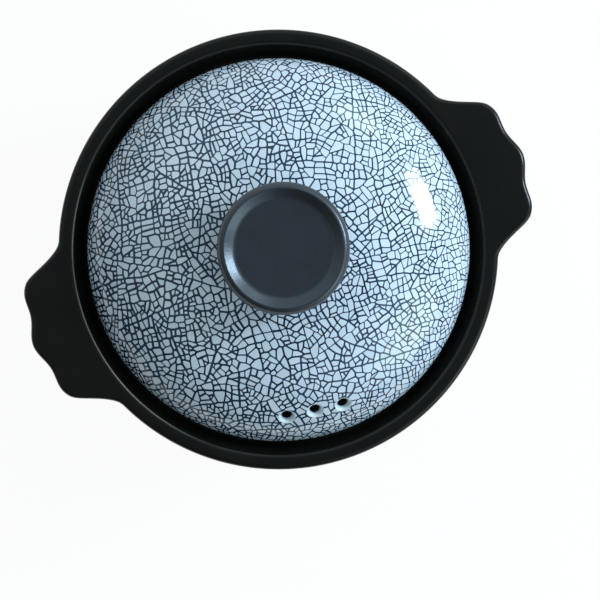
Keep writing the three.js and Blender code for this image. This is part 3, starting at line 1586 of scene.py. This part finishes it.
@dataclass
class Studio:
    """Camera, lamps, sky and floor."""

    aim: Vector = field(default_factory=lambda: Vector((0.0004, -0.0253, 0.112)))
    tilt_x: float = 2.19
    tilt_y: float = -1.56
    roll: float = -21.4
    distance: float = 1.0
    focal_pixels: float = 2146.4
    far_sky: Colour = (0.145, 0.138, 0.125)
    near_sky: Colour = (0.86, 1.0, 1.06)
    sky_range: tuple[float, float] = (-0.22, 1.0)
    sky_azimuth: float = 66
    sky_elevation: float = 40
    overhead_range: tuple[float, float] = (0.8, 0.97)
    overhead_share: tuple[float, float] = (1.0, 0.4)
    floor_size: float = 40.0
    floor_white: float = 0.9
    floor_shade: float = 0.3
    floor_glow: float = 0.93
    lamps: tuple[SoftBox, ...] = (
        SoftBox("window", -3, 31, 1.3, 0.28, 0.29, 9.6, (0.8, 0.98, 1.16)),
        SoftBox("window's curtain", 6.5, 31, 1.3, 0.16, 0.29, 2.4, (0.8, 0.98, 1.16)),
        SoftBox("lamp", -62, 36, 1.6, 1.6, 1.2, 4.6, (0.78, 0.98, 1.2)),
    )
    glows: tuple[Glow, ...] = (
        Glow(36, 31, 1, 12, (3.4, 4.1, 4.0)),
        Glow(-52, 27, 3, 22, (2.4, 2.9, 2.8)),
    )

    def set_camera(self) -> None:
        """Look down at the lid as the photograph does."""
        lens = bpy.data.cameras.new("camera")
        lens.sensor_width = SENSOR_WIDTH
        lens.lens = self.focal_pixels / IMAGE_WIDTH * SENSOR_WIDTH
        lens.clip_start = NEAREST_SIGHT
        camera = bpy.data.objects.new("camera", lens)
        bpy.context.scene.collection.objects.link(camera)
        slope = (math.tan(math.radians(angle)) for angle in (self.tilt_x, self.tilt_y))
        forward = Vector((*slope, -1)).normalized()
        right = heading(math.radians(self.roll)).to_3d()
        right = (right - forward * right.dot(forward)).normalized()
        up = right.cross(forward)
        turn = Matrix((right, up, -forward)).transposed().to_4x4()
        camera.matrix_world = Matrix.Translation(self.aim - forward * self.distance) @ turn
        bpy.context.scene.camera = camera

    def set_sky(self) -> None:
        """Light the pot from all sides, most from the windows' side and less from straight above."""
        world = bpy.data.worlds.new("sky")
        world.use_nodes = True
        bpy.context.scene.world = world
        sheet = NodeSheet(world.node_tree)
        place = sheet.add("ShaderNodeTexCoord").outputs["Generated"]
        levels = []
        for centre, limits in (
            (aloft(self.sky_azimuth, self.sky_elevation), (*self.sky_range, 0.0, 1.0)),
            (aloft(0, 90), (*self.overhead_range, *self.overhead_share)),
            *((aloft(glow.azimuth, glow.elevation), glow.limits) for glow in self.glows),
        ):
            way = sheet.add("ShaderNodeVectorMath", {0: place, 1: centre}, operation="DOT_PRODUCT")
            levels.append(sheet.mapped(way.outputs["Value"], limits, interpolation_type="SMOOTHSTEP"))
        near, strength, *patches = levels
        tone = sheet.blend(near, self.far_sky, self.near_sky)
        for patch, glow in zip(patches, self.glows):
            tone = sheet.blend(patch, tone, glow.tone)
        for name, source in (("Color", tone), ("Strength", strength)):
            sheet.join(source, world.node_tree.nodes["Background"].inputs[name])

    def set_floor(self) -> None:
        """Lay a white floor that keeps the pot's shadow."""
        deselect()
        bpy.ops.mesh.primitive_plane_add(size=self.floor_size)
        floor = bpy.context.active_object
        floor.name = "floor"
        material = bpy.data.materials.new("white floor")
        material.use_nodes = True
        nodes = material.node_tree.nodes
        nodes.remove(nodes["Principled BSDF"])
        sheet = NodeSheet(material.node_tree)
        shade, white = (
            sheet.add("ShaderNodeBsdfDiffuse", {"Color": (level,) * 3}).outputs["BSDF"]
            for level in (self.floor_shade, self.floor_white)
        )
        glow = sheet.add("ShaderNodeEmission").outputs["Emission"]
        seen = sheet.add("ShaderNodeMixShader", {"Fac": self.floor_glow, 1: white, 2: glow})
        rays = sheet.add("ShaderNodeLightPath").outputs
        mirrored = sheet.combine("MAXIMUM", rays["Is Glossy Ray"], rays["Is Transmission Ray"])
        sight = sheet.combine("MAXIMUM", rays["Is Camera Ray"], mirrored)
        mix = sheet.add("ShaderNodeMixShader", {"Fac": sight, 1: shade, 2: seen.outputs["Shader"]})
        sheet.join(mix.outputs["Shader"], nodes["Material Output"].inputs["Surface"])
        floor.data.materials.append(material)

    def build(self) -> None:
        """Set up the whole stage."""
        bpy.context.scene.view_settings.view_transform = "Standard"
        self.set_camera()
        self.set_sky()
        self.set_floor()
        for lamp in self.lamps:
            lamp.place(self.aim)


def main() -> None:
    """Load the frame, set the stage, and model and dress each piece."""
    logging.basicConfig(level=logging.INFO, format="%(message)s")
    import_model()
    Studio().build()
    lid = Lid()
    for assembly in (Pot(), lid, Knob(lid)):
        piece = assembly.build()
        LOG.info("%s: %d faces", piece.name, len(piece.data.polygons))


if __name__ == "__main__":
    main()
